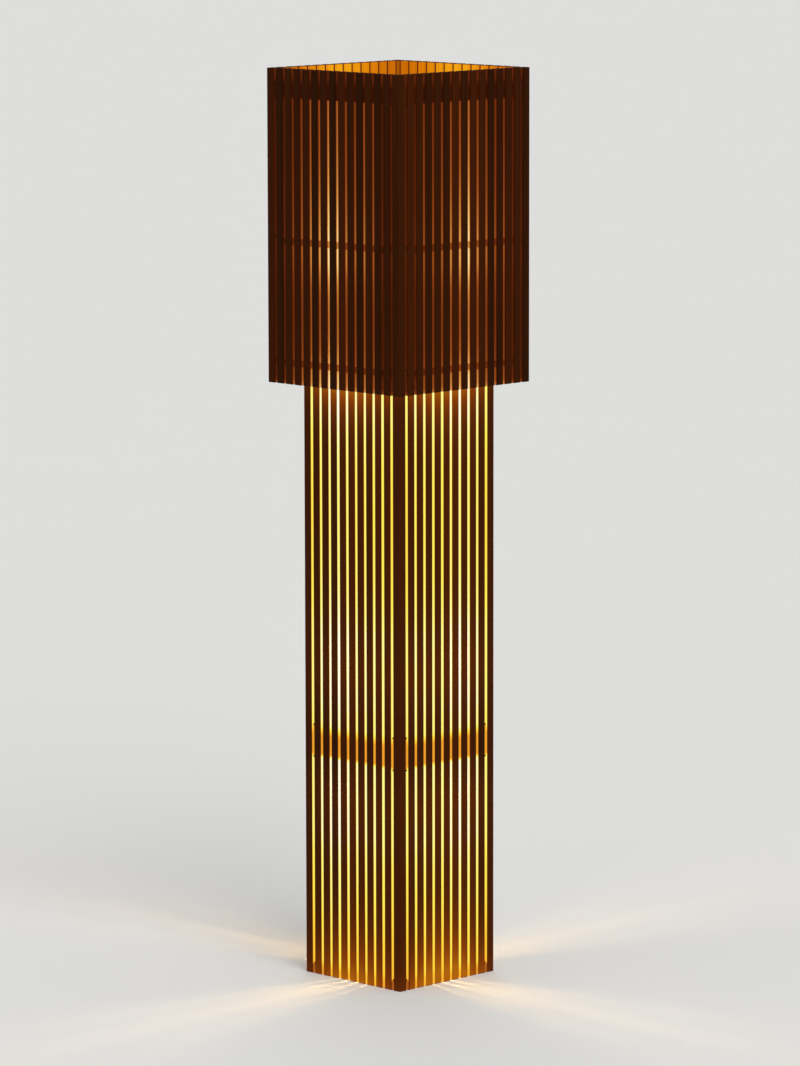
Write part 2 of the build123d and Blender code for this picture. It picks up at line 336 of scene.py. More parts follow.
class LampSizes(bpy.types.PropertyGroup):
    """Sizes that the finishes and fittings follow."""

    stick: FloatProperty(
        name="Stick", description="Side of the square sticks", default=0.012, unit="LENGTH"
    )
    gap: FloatProperty(
        name="Gap", description="Open gap between two sticks", default=0.0044, unit="LENGTH"
    )
    fibre: FloatProperty(
        name="Fibre", description="Width of the wood's fibres", default=0.0007, unit="LENGTH"
    )
    screw_radius: FloatProperty(
        name="Block screw",
        description="Radius of the terminal screws",
        default=0.0024,
        unit="LENGTH",
    )
    screw_sides: IntProperty(
        name="Screw facets", description="Sides of a round screw head", default=24, min=8
    )


class LampColours(bpy.types.PropertyGroup):
    """Colours and brightness that a user would change."""

    stick_dark: FloatVectorProperty(
        name="Stick, dark grain",
        description="Darker tone of the oiled sticks",
        subtype="COLOR",
        default=linear(29, 11, 1),
    )
    stick_light: FloatVectorProperty(
        name="Stick, light grain",
        description="Lighter tone of the oiled sticks",
        subtype="COLOR",
        default=linear(66, 27, 2),
    )
    stick_ruddy: FloatVectorProperty(
        name="Stick, ruddy",
        description="Redder tone that some of the sticks have",
        subtype="COLOR",
        default=linear(70, 20, 2),
    )
    rail_tone: FloatVectorProperty(
        name="Rail",
        description="Tone of the thin rails",
        subtype="COLOR",
        default=linear(84, 46, 22),
    )
    bar_tone: FloatVectorProperty(
        name="Bar",
        description="Tone of the bars inside",
        subtype="COLOR",
        default=linear(120, 76, 46),
    )
    light: FloatVectorProperty(
        name="Lamp light",
        description="Colour of the bulbs' light",
        subtype="COLOR",
        default=(1.0, 0.64, 0.24),
    )
    light_strength: FloatProperty(
        name="Bulb strength", description="Brightness of the bulbs", default=460.0, min=0.0
    )
    floor: FloatVectorProperty(
        name="Floor",
        description="Colour of the floor",
        subtype="COLOR",
        default=(0.80, 0.79, 0.77),
    )


# ------------------------------------------------------------------ wood

GRAIN_ALONG = 14.0                # grain along a stick, per metre; across it is 1 / fibre
OWN_FIGURE = (29.0, 61.0, 17.0)   # how far the sticks' figures lie apart in the noise
STREAK_SCALE = 0.17               # streaks and pores, where fibres are 1
PORE_SCALE = 0.62
PORE_NOISE = (0.62, 0.78)         # noise between which a pore opens
STREAK_TONE, FIBRE_TONE, OWN_TONE = 0.75, 0.55, 0.55   # what each adds to the lighter tone
DARKER = 0.465                    # what the darker tone takes off their sum
RUDDY_MOST = 0.5                  # share of the ruddy tone in the ruddiest stick
PORE_COLOUR, PORE_SHARE = (0.006, 0.0022, 0.0006), 0.45
END_COLOUR, END_SHARE = (0.012, 0.005, 0.001), 0.25    # the ends drink more oil
END_RINGS = (420.0, 9.0, 7.0)     # rings per metre, and how the sticks' rings differ
RING_SHARE = 0.5
END_TURN = (0.8, 0.95)            # how far a face turns along the grain to be an end
WOOD_ROUGH, END_ROUGH = 0.46, 0.95
FIBRE_ROUGH, PORE_ROUGH = 0.16, 0.15             # what each adds to the roughness
OIL_GLOSS, OIL_TINT = 0.04, (1.0, 0.5, 0.25)     # a thin, warm gloss
GRAIN_DEPTH, GRAIN_STRENGTH = 0.00022, 0.7
PORE_DEPTH = 0.5                  # of a pore, where the highest fibre is 1
STICK_SEED, GAP_SEED = 3.0, 4.0
RUDDY_SEED = (50.0, 2.0, 5.0)
RAIL_FIGURE, BAR_FIGURE, HANGER_FIGURE = 5.0, 8.0, 9.0   # so that no two kinds share a figure


def wood_grain(f, sizes, dark, light, run="z", figure_seed=0.0, ruddy=None):
    """Long fibres along the run of a stick, each stick with a tone of its own.

    The run is x, y or z, or around for rails that lie on all four faces.
    """
    if run == "around":
        sides = f.on_sides()
        along, wide, tall = towards(f.x, f.y, sides), towards(f.y, f.x, sides), f.z
        end_turn = towards(f.nx, f.ny, sides)
    else:
        axes, turns = {"x": f.x, "y": f.y, "z": f.z}, {"x": f.nx, "y": f.ny, "z": f.nz}
        along, end_turn = axes.pop(run), turns[run]
        wide, tall = axes.values()
    per_metre = 1 / (sizes.stick + sizes.gap)
    numbers = ((way * per_metre + 0.5).floor() for way in (wide, tall))
    own = f.chance(f.point(*numbers, STICK_SEED + figure_seed))
    fine = 1 / sizes.fibre
    own_along, own_wide, own_tall = OWN_FIGURE
    figure = f.point(
        along * GRAIN_ALONG + own * own_along,
        wide * fine + own * own_wide,
        tall * fine + own * own_tall,
    )
    fibres = f.noise(figure, detail=3.0, roughness=0.6)
    streaks = f.noise(figure, STREAK_SCALE)
    pores = f.noise(figure, PORE_SCALE, detail=1.0, roughness=0.4).rise(*PORE_NOISE)
    share = streaks * STREAK_TONE + fibres * FIBRE_TONE + own * OWN_TONE - DARKER
    share = share.highest(0.0).lowest(1.0)
    colour = f.blend(share, dark, light)
    if ruddy:
        spread, *seed = RUDDY_SEED
        cast = f.chance(f.point(own * spread, *seed))
        colour = f.blend(cast * RUDDY_MOST * share, colour, ruddy)
    end = abs(end_turn).rise(*END_TURN)
    rings_per_metre, ring_shift, ring_change = END_RINGS
    rings = f.noise(
        f.point(
            wide * rings_per_metre + own * ring_shift, tall * rings_per_metre, own * ring_change
        )
    )
    colour = f.blend(pores * PORE_SHARE, colour, PORE_COLOUR)
    colour = f.blend(end * (rings * RING_SHARE + END_SHARE), colour, END_COLOUR)
    f.set(
        Base_Color=colour,
        Roughness=(WOOD_ROUGH + fibres * FIBRE_ROUGH + pores * PORE_ROUGH).highest(
            end * END_ROUGH
        ),
        Specular_IOR_Level=OIL_GLOSS,
        Specular_Tint=OIL_TINT,
    )
    f.bump(fibres - pores * PORE_DEPTH, GRAIN_DEPTH, GRAIN_STRENGTH)


# ------------------------------------------------------------------ where a point of a stick lies

FACING = (0.45, 0.85)             # how far a surface turns a way to count as facing it
RAIL_FACING = (0.5, 0.9)
POST_WALL = (0.75, 0.9)           # the same for the walls of a post
GAP_WALL = (0.3, 0.6)             # how far a slat's wall may turn outwards
STICK_END = (0.6, 0.8)            # how far up or down the end of a stick faces
HOME_WALL = (0.2, 0.8)            # how far a wall turns towards the middle of its face


class Stick:
    """Where a point of a stick or rail lies on its face, as values of a finish.

    side is front_back or left_right, or another word for pieces that lie on all four faces.
    along is its place across the width of the face and outward its place from the lamp's middle
    to the face, both with the sign of the axis. depth is 0 on the cage's outer face and 1 on the
    sticks' inner one. own_gap is a fixed random number for each gap. The turns say how far the
    surface faces along the face, out of it, and home towards the middle of the face.
    """

    def __init__(self, finish, side, cage, sizes):
        f = finish
        if side == "front_back":
            self.along, self.outward = f.x, f.y
            self.turn_along, turn_outward = f.nx, f.ny
        elif side == "left_right":
            self.along, self.outward = f.y, f.x
            self.turn_along, turn_outward = f.ny, f.nx
        else:
            sides = f.on_sides()
            self.along, self.outward = towards(f.x, f.y, sides), towards(f.y, f.x, sides)
            self.turn_along = towards(f.nx, f.ny, sides)
            turn_outward = towards(f.ny, f.nx, sides)
        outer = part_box(f"{cage}_post_back_right")[1][0]
        self.depth = (outer - abs(self.outward)) * (1 / sizes.stick)
        gap_number = (self.along * (1 / (sizes.stick + sizes.gap))).floor()
        self.own_gap = f.chance(f.point(gap_number, self.outward.sign(), GAP_SEED + outer))
        self.turn_out = turn_outward * self.outward.sign()
        self.turn_home = -(self.turn_along * self.along.sign())


# ------------------------------------------------------------------ light of the four bulbs
# Amounts of light are places on the ramps of colours at the top. Lengths are in metres, heights
# are from the floor, and places across a face are from its middle.

DIM_STRIP = {"column": 0.10, "shade": 0.24}      # outer share of a gap's wall that stays dim
UNEVEN_STRIP = {"column": 0.09, "shade": 0.05}   # how much that strip differs between gaps
PLAIN_GAP = 0.4                   # own_gap of a gap whose strip starts at the outer face
INNER_PART = (0.72, 0.87)         # share of the depth beyond which a wall is lit as the inside

BULB_REACH = (0.075, 0.050)       # how far a bulb's light carries ahead, and back past its holder
FIRST_GAP = 0.068                 # beyond this a face has only the gap beside its post
TOP_SHADOW = (-0.014, 0.005)      # soft upper edge of a deep rail's shadow, from its top
FOOT_SHADOW = (-0.001, 0.005)     # and its sharp lower edge, from the rail's underside

WALL = 0.665                      # on the column's gap walls, away from the bulbs
WALL_BY_BULB = (0.29, 0.22)       # added by the bulbs, and the most that is added
WALL_UNEVEN = 0.05                # between the dimmest and the brightest gap
HOT_WALL = (0.029, 0.016)         # the brightest gaps of the column: place and width
HOT_EXTRA = (0.095, 0.03)         # what they get more, and more again beside a bulb
BY_POST_LESS = 0.06               # what the gap beside a post gets less
LOW_HEIGHTS, LOW_LESS = (0.12, 0.03), 0.07       # between these the light falls off downwards
BY_RAIL = 0.47                    # on the walls beside a deep rail
FOOT_FADE = (0.005, 0.022)        # heights between which the walls fade towards the floor
AT_FLOOR, OUTER_LESS = 0.53, 0.08                # at the floor, and less in the outer gaps
OUTER_GAPS = (0.050, 0.060)
BY_RAIL_END = 0.24                # below the top of a foot rail's end
RAIL_END_EDGE = (-0.0005, 0.001)  # soft edge there, from the rail's top

SHADE_BULBS = (0.085, 0.030, 0.015)              # reach ahead and back, and how much lower
SHADE_WALL, SHADE_BY_BULB = 0.135, 0.055         # on the shade's gap walls, and by the bulbs
HOT_SHADE = (0.006, 0.020)        # the brightest gaps of the shade: place and width
HOT_SHADE_EXTRA = (0.04, 0.40)    # what they get more, and more again beside a bulb
THIN_RAIL_LESS = 0.45             # share lost beside the shade's thin rails
SHADE_EDGES, EDGE_LESS = (0.060, 0.100), 0.66    # share lost towards the shade's posts
SHADE_UNEVEN = (0.78, 0.44)       # the dimmest gap's share, and what the brightest has more
RIM_ZONE, RIM_GLOW = (0.0, 0.008), 0.09          # the column's light on the shade's lower rim
BY_TOP_RAIL = 0.03                # on the walls beside the shade's top rails
ABOVE_RAIL, ABOVE_MORE = 0.04, 0.045             # just above them, and more further up
ABOVE_ZONE = (0.0, 0.012)
SOFT_EDGE, TOP_SOFT_EDGE = 0.001, 0.002          # edges of the rails' shadows in the shade

INSIDE_COLUMN = (0.66, 0.3)       # on the inner faces, and the most that the bulbs add
INSIDE_SHADE = (0.2, 0.2)         # the same in the shade
MOUTH_HEIGHTS, MOUTH_WIDTH, MOUTH_LIGHT = (1.08, 1.17), 0.065, 0.45   # near the shade's mouth

FOOT_REACH = 0.040                # how far up the light from the floor reaches outside
FOOT_SHARE = {"front_back": 0.95, "left_right": 1.4, "corner": 1.1}   # and its strength there
RIM_REACH, RIM_SHARE = 0.022, 0.88               # the shade's light on the column below its rim
ABOVE_RIM = 1.6                   # above the rim it falls off this many times as fast
LEAK = (0.04, 0.08)               # what slips out between: all along, and by the bulbs
LEAK_SHARE = {"front_back": 1.0, "left_right": 1.2, "corner": 0.4}
LEAK_AT_RAIL = (0.7, 0.03)        # share that the mid rails keep in, and how far from them
# Where it is strongest across a face, near the floor and under the shade
LIT_CENTRE = {"front_back": (0.0, 0.012), "left_right": (-0.005, 0.0), "corner": (0.0, 0.0)}
LIT_EDGE, LIT_LESS = (0.020, 0.065), 0.55        # how the light outside falls off sideways
POST_SIDE, POST_LESS = (FIRST_GAP, 0.074), 0.28  # and more beside the posts


def near_lamps(z, places, ahead=BULB_REACH[0], back=BULB_REACH[1], drop=0.0):
    """Sum of the bulbs' nearness at a height, 1 beside a bulb and less past either end of it."""
    total = 0.0
    for place in places:
        onward = 1 if place.endswith("up") else -1
        offset = (z - (middle(f"bulb_globe_{place}")[2] - drop)) * onward
        share = offset.highest(0.0) * (1 / ahead) - offset.lowest(0.0) * (1 / back)
        total = 1 / (share * share + 1) + total
    return total


def rail_shadow(z, node):
    """The shadow of a deep rail on the walls beside it: sharp below and soft above."""
    low, high = heights(node)
    return z.rise_about(low, FOOT_SHADOW) * (1 - z.rise_about(high, TOP_SHADOW))


def column_light(f, s):
    """How much light lies on the outer part of the column's gap walls."""
    z = f.z
    lamps = near_lamps(z, LAMPS)
    by_bulb, most = WALL_BY_BULB
    light = WALL + (lamps * by_bulb).lowest(most) + (s.own_gap - 0.5) * WALL_UNEVEN
    hot = abs(s.along).hump(*HOT_WALL) * s.turn_home.rise(*HOME_WALL)
    hot_extra, hot_by_bulb = HOT_EXTRA
    light = light + hot * (lamps * hot_by_bulb + hot_extra)
    beside_post = abs(s.along).over(FIRST_GAP)
    light = light - beside_post * BY_POST_LESS - z.rise(*LOW_HEIGHTS) * LOW_LESS
    deep = rail_shadow(z, "column_mid_rail_right").highest(
        rail_shadow(z, "column_upper_rail_right")
    )
    light = towards(light, BY_RAIL, deep)
    at_floor = AT_FLOOR - abs(s.along).rise(*OUTER_GAPS) * OUTER_LESS
    light = towards(light, at_floor, 1 - z.rise(*FOOT_FADE))
    foot_top = heights("column_foot_rail_right")[1]
    behind_end = beside_post * (1 - z.rise_about(foot_top, RAIL_END_EDGE))
    return towards(light, BY_RAIL_END, behind_end)


def shade_light(f, s):
    """How much light lies on the outer part of the shade's gap walls."""
    z = f.z
    lamps = near_lamps(z, LAMPS[2:], *SHADE_BULBS)
    hot = (abs(s.along) * s.turn_home.sign()).hump(*HOT_SHADE)
    hot_extra, hot_by_bulb = HOT_SHADE_EXTRA
    light = SHADE_WALL + lamps * SHADE_BY_BULB + hot * (hot_extra + lamps * hot_by_bulb)
    mid_rails = z.band(*heights("shade_mid_rails"), SOFT_EDGE)
    thin = mid_rails.highest(z.band(*heights("shade_low_rails"), SOFT_EDGE))
    edges = abs(s.along).rise(*SHADE_EDGES)
    light = light * (1 - thin * THIN_RAIL_LESS) * (1 - edges * EDGE_LESS)
    rim = heights("shade_post_front_left")[0]
    rim_glow = (1 - z.rise_about(rim, RIM_ZONE)) * RIM_GLOW
    dimmest, spread = SHADE_UNEVEN
    light = light * (dimmest + s.own_gap * spread) + rim_glow
    rail_low, rail_high = heights("shade_top_rails")
    light = towards(light, BY_TOP_RAIL, z.band(rail_low, rail_high, TOP_SOFT_EDGE))
    above_light = ABOVE_RAIL + z.rise_about(rail_high, ABOVE_ZONE) * ABOVE_MORE
    above = z.rise_about(rail_high, (-TOP_SOFT_EDGE, TOP_SOFT_EDGE))
    return towards(light, above_light, above)


def inner_light(f, s, cage):
    """Light on the faces that look into the cage, and on the walls close behind them."""
    lamps = near_lamps(f.z, LAMPS)
    least, by_bulb = INSIDE_COLUMN if cage == "column" else INSIDE_SHADE
    light = least + (lamps * by_bulb).lowest(by_bulb)
    if cage == "column":
        return light
    middle_share = abs(s.along).hump(0.0, MOUTH_WIDTH)
    return light + f.z.rise(*MOUTH_HEIGHTS) * middle_share * MOUTH_LIGHT


def lit_share(s, centre):
    """How much of the light outside lies at a place across a face, most about the centre."""
    way = abs(s.along * s.outward.sign() - centre)
    return 1 - way.rise(*LIT_EDGE) * LIT_LESS - abs(s.along).rise(*POST_SIDE) * POST_LESS


def outer_light(f, s, side):
    """Light that falls back on the column's outside, most near the floor and under the shade."""
    near_floor = f.z.fade(FOOT_REACH) * FOOT_SHARE[side]
    below_rim = heights("shade_post_front_left")[0] - f.z
    near_shade = below_rim.highest(below_rim * -ABOVE_RIM).fade(RIM_REACH) * RIM_SHARE
    at_foot, at_shade = LIT_CENTRE[side]
    kept_in, rail_reach = LEAK_AT_RAIL
    rails = f.z.hump(middle("column_mid_rail_right")[2], rail_reach)
    all_along, by_bulb = LEAK
    between = (all_along + near_lamps(f.z, LAMPS) * by_bulb) * (1 - rails * kept_in)
    return (
        near_floor * lit_share(s, at_foot)
        + near_shade * lit_share(s, at_shade)
        + between * LEAK_SHARE[side]
    )


def stick_finish(name, sizes, colours, cage, side):
    """Dark oiled wood whose inner and side faces carry the lamp's light."""
    f = Finish(name)
    wood_grain(
        f, sizes, colours.stick_dark, colours.stick_light, ruddy=tuple(colours.stick_ruddy)
    )
    s = Stick(f, side, cage, sizes)
    if side == "corner":
        s.turn_home = (-(f.nx * f.x.sign())).highest(-(f.ny * f.y.sign()))
        walls = s.turn_home.rise(*POST_WALL)
        inside = 0.0
        out = 1 - walls
    else:
        walls = 1 - abs(s.turn_out).rise(*GAP_WALL)
        inside = (-s.turn_out).rise(*FACING)
        out = s.turn_out.rise(*FACING)
    upright = 1 - abs(f.nz).rise(*STICK_END)
    deep_part = s.depth.rise(*INNER_PART)
    lit_depth = s.depth - (s.own_gap - PLAIN_GAP) * UNEVEN_STRIP[cage]
    outer_part = lit_depth.rise(0.0, DIM_STRIP[cage]) * (1 - deep_part) * walls * upright
    inner_part = (deep_part * walls + inside) * upright
    within = inner_light(f, s, cage) * inner_part
    if cage == "column":
        on_wall = column_light(f, s) * outer_part
        f.set_light((on_wall + within, GLOW), (outer_light(f, s, side) * out * upright, BOUNCE))
    else:
        f.set_light((shade_light(f, s) * outer_part, EMBER), (within, INNER))
    return f


def rail_finish(name, sizes, colours, side, run, lit, inner_colours=GLOW):
    """A thin rail's wood. lit is the light on its outer face, its inner face and its ends."""
    f = Finish(name)
    wood_grain(f, sizes, colours.stick_dark, colours.rail_tone, run, RAIL_FIGURE)
    s = Stick(f, side, "column", sizes)
    outer, inner, ends = lit
    out = s.turn_out.rise(*RAIL_FACING)
    inside = (-s.turn_out).rise(*RAIL_FACING)
    tips = abs(s.turn_along).rise(*RAIL_FACING)
    edges = abs(f.nz).rise(*RAIL_FACING)
    on_sides = out * outer + tips * ends + edges * (outer + inner) * 0.5
    f.set_light((on_sides, GLOW), (inside * inner, inner_colours))
    return f


def mottled(name, scale, dark, light, roughness, metallic=0.0):
    """A plain finish whose tone and roughness wander a little. Gives it and its mottle."""
    f = Finish(name)
    mottle = f.noise(f.place, scale)
    least, spread = roughness
    f.set(
        Base_Color=f.blend(mottle, dark, light),
        Metallic=metallic,
        Roughness=least + mottle * spread,
    )
    return f, mottle


# ------------------------------------------------------------------ modelling by hand


def deselect():
    if bpy.context.mode != "OBJECT":
        bpy.ops.object.mode_set(mode="OBJECT")
    bpy.ops.object.select_all(action="DESELECT")


def start(name):
    """Names the primitive that was just added."""
    piece = bpy.context.active_object
    piece.name = name
    piece.data.name = name
    return piece


def take_up(piece):
    """Selects a piece alone and makes it the active one."""
    deselect()
    piece.select_set(True)
    bpy.context.view_layer.objects.active = piece


def settle(piece):
    """Applies a piece's place, turn and size to its mesh."""
    take_up(piece)
    bpy.ops.object.transform_apply(location=True, rotation=True, scale=True)
    deselect()
    return piece


def pick_faces(piece, wanted):
    """In edit mode, selects the faces whose middle and normal pass a test."""
    bpy.ops.mesh.select_mode(type="FACE")
    bpy.ops.mesh.select_all(action="DESELECT")
    bpy.ops.object.mode_set(mode="OBJECT")
    for face in piece.data.polygons:
        face.select = wanted(face.center, face.normal)
    bpy.ops.object.mode_set(mode="EDIT")


# ------------------------------------------------------------------ rails, fittings and stage

# Light on the rails: their outer faces, inner faces and ends
COLUMN_RAILS_LIT = {
    "foot": (0.26, 0.6, 0.26),
    "mid": (0.46, 0.9, 0.49),
    "upper": (0.46, 0.9, 0.49),
    "top": (0.2, 0.6, 0.2),
}
SHADE_RAILS_LIT = {"top": (0.03, 0.4, 0.02), "mid": (0.06, 0.4, 0.03), "low": (0.06, 0.4, 0.03)}
BAR_LIGHT, BAR_STRENGTH = linear(150, 80, 25), 0.5   # the bulbs' light on the bars beside them

RUST_NOISE = (0.45, 0.7)          # noise between which a nail turns rusty
NIPPLE_PITCH, NIPPLE_THREAD = 0.001, 0.0004          # the nipples' thread: pitch and depth
BULB_PITCH, BULB_THREAD = 0.0028, 0.0007             # the bulbs' rolled thread
CAP_END = (0.0235, 0.0240)        # where a bulb's metal cap ends, from its contact
GLOBE_FOOT = (0.0, 0.012)         # the dimmer foot of a globe
FOOT_TONE = (0.5, 0.4, 0.3)       # its share of the light's red, green and blue
FROST = (0.94, 0.06)              # least share of light through the frost, and how it varies

SCREW_PLACES = (0.25, 0.75)       # shares of the terminal block's width
SCREW_HEIGHT, SCREW_SEAT = 0.002, 0.0029         # a screw and its middle, in from the front face
SCREW_DISH = (0.25, 0.0004)       # rim as a share of the radius, and how far the head is sunk
SLOT_SIZE, SLOT_SEAT = (0.007, 0.0018, 0.0008), 0.0012
SLOT_TURN = 0.5                   # of the first screw, in radians; the next is one further on

FLOOR_RADIUS, FLOOR_SIDES = 60.0, 96
FLOOR_MOTTLE, FLOOR_DARKER = 0.3, 0.97           # share of the darker tone, and that tone
SKY, SKY_STRENGTH = (0.96, 0.98, 1.0, 1.0), 0.55
LIGHT_SPREAD = 40                 # degrees
LIGHTS = (                        # where each shines from, and its strength
    ("key_light", (3.2, -1.0, 2.7), 1.4),
    ("fill_light", (-1.0, -3.0, 2.1), 0.15),
    ("back_light", (-2.4, 2.2, 2.7), 0.4),
)

FRAME_HEIGHT, FOCAL_LENGTH = 1066, 5500          # both in pixels
SENSOR = 36.0                     # millimetres along the frame's height
CAMERA_PLACE = (5.055, -5.067, 1.6265)
CAMERA_YAW, CAMERA_PITCH, CAMERA_ROLL = 134.923, -8.25, -0.108   # degrees


# ------------------------------------------------------------------ operators


class LAMP_OT_sticks(bpy.types.Operator):
    """Finish the posts and slats of both cages"""

    bl_idname = "lamp.sticks"
    bl_label = "Posts and slats"

    def execute(self, context):
        sizes, colours = context.scene.lamp_sizes, context.scene.lamp_colours
        for cage in ("column", "shade"):
            corner = stick_finish(f"{cage}_post_wood", sizes, colours, cage, "corner")
            corner.put_on(*(f"{cage}_post_{place}" for place in CORNERS))
            for side, _, pair in FACE_PAIRS:
                wood = stick_finish(f"{cage}_slat_wood_{side}", sizes, colours, cage, side)
                wood.put_on(*(f"{cage}_slats_{face}" for face in pair))
        return {"FINISHED"}


class LAMP_OT_rails(bpy.types.Operator):
    """Finish the thin rails behind the slats"""

    bl_idname = "lamp.rails"
    bl_label = "Rails"

    def execute(self, context):
        sizes, colours = context.scene.lamp_sizes, context.scene.lamp_colours
        for kind, lit in COLUMN_RAILS_LIT.items():
            for side, run, pair in FACE_PAIRS:
                wood = rail_finish(
                    f"column_{kind}_rail_wood_{side}", sizes, colours, side, run, lit
                )
                wood.put_on(*(f"column_{kind}_rail_{face}" for face in pair))
        for kind, lit in SHADE_RAILS_LIT.items():
            wood = rail_finish(
                f"shade_{kind}_rail_wood", sizes, colours, "either", "around", lit, INNER
            )
            wood.put_on(f"shade_{kind}_rails")
        return {"FINISHED"}


class LAMP_OT_bars(bpy.types.Operator):
    """Finish the lamp bars and the hangers"""

    bl_idname = "lamp.bars"
    bl_label = "Bars inside"

    def execute(self, context):
        sizes, colours = context.scene.lamp_sizes, context.scene.lamp_colours
        lamp_bar = Finish("lamp_bar_wood")
        tones = colours.stick_light, colours.bar_tone
        wood_grain(lamp_bar, sizes, *tones, "y", BAR_FIGURE)
        lamp_bar.set(Emission_Color=BAR_LIGHT, Emission_Strength=BAR_STRENGTH)
        lamp_bar.put_on("lower_lamp_bar", "upper_lamp_bar")
        hanger = Finish("hanger_wood")
        wood_grain(hanger, sizes, *tones, "x", HANGER_FIGURE)
        hanger.put_on("shade_hanger_front", "shade_hanger_back")
        return {"FINISHED"}


class LAMP_OT_nails(bpy.types.Operator):
    """Finish the small square nails"""

    bl_idname = "lamp.nails"
    bl_label = "Nails"

    def execute(self, context):
        f = Finish("nail_iron")
        patch = f.noise(f.place, 900.0, detail=3.0, roughness=0.6)
        f.set(
            Base_Color=f.blend(
                patch.rise(*RUST_NOISE), (0.012, 0.010, 0.009), (0.05, 0.022, 0.012)
            ),
            Metallic=0.8,
            Roughness=0.5 + patch * 0.3,
        )
        f.bump(patch, 0.00008, 0.6)
        f.put_on("column_nails", "shade_nails")
        return {"FINISHED"}


class LAMP_OT_holders(bpy.types.Operator):
    """Finish the lampholders and the threaded tubes between them"""

    bl_idname = "lamp.holders"
    bl_label = "Lampholders"

    def execute(self, context):
        moulding, _ = mottled(
            "holder_moulding", 260.0, (0.010, 0.008, 0.007), (0.022, 0.016, 0.013), (0.22, 0.12)
        )
        moulding.bump(moulding.noise(moulding.place, 1400.0), 0.00003, 0.5)
        moulding.put_on(*(f"lampholder_{place}" for place in LAMPS))
        brass, _ = mottled(
            "nipple_brass", 500.0, (0.55, 0.36, 0.13), (0.78, 0.56, 0.26), (0.28, 0.2), 1.0
        )
        brass.bump((brass.z * (1 / NIPPLE_PITCH)).ridges(), NIPPLE_THREAD)
        brass.put_on("lower_nipple", "upper_nipple")
        return {"FINISHED"}


class LAMP_OT_bulbs(bpy.types.Operator):
    """Finish the bulbs and light them"""

    bl_idname = "lamp.bulbs"
    bl_label = "Bulbs"

    def execute(self, context):
        colours = context.scene.lamp_colours
        for place in LAMPS:
            self.finish_base(place)
            self.finish_globe(place, tuple(colours.light), colours.light_strength)
        return {"FINISHED"}

    @staticmethod
    def from_contact(z, node, place):
        """Height along a bulb's axis, from the piece's end that is nearer the holder."""
        low, high = heights(node)
        return z - low if place.endswith("up") else high - z

    def finish_base(self, place):
        f = Finish(f"bulb_base_{place}")
        height = self.from_contact(f.z, f"bulb_base_{place}", place)
        metal = 1 - height.rise(*CAP_END)
        scuff = f.noise(f.place, 700.0, detail=3.0, roughness=0.6)
        ridge = (height * (1 / BULB_PITCH)).ridges() * metal
        f.set(
            Base_Color=f.blend(metal, (0.80, 0.79, 0.74), (0.66, 0.66, 0.64)),
            Metallic=metal,
            Roughness=0.42 - metal * 0.14 + scuff * 0.14,
        )
        f.bump(ridge + scuff * 0.04, BULB_THREAD, 0.8)
        f.put_on(f"bulb_base_{place}")

    def finish_globe(self, place, light, strength):
        f = Finish(f"bulb_globe_{place}")
        height = self.from_contact(f.z, f"bulb_globe_{place}", place)
        frost = f.noise(f.place, 300.0)
        least, spread = FROST
        bright = height.rise(*GLOBE_FOOT) * (least + frost * spread)
        foot = tuple(part * share for part, share in zip(light, FOOT_TONE))
        f.set(
            Base_Color=(0.9, 0.86, 0.78),
            Roughness=0.3 + frost * 0.1,
            Emission_Color=f.blend(bright, foot, light),
            Emission_Strength=strength,
        )
        f.put_on(f"bulb_globe_{place}")


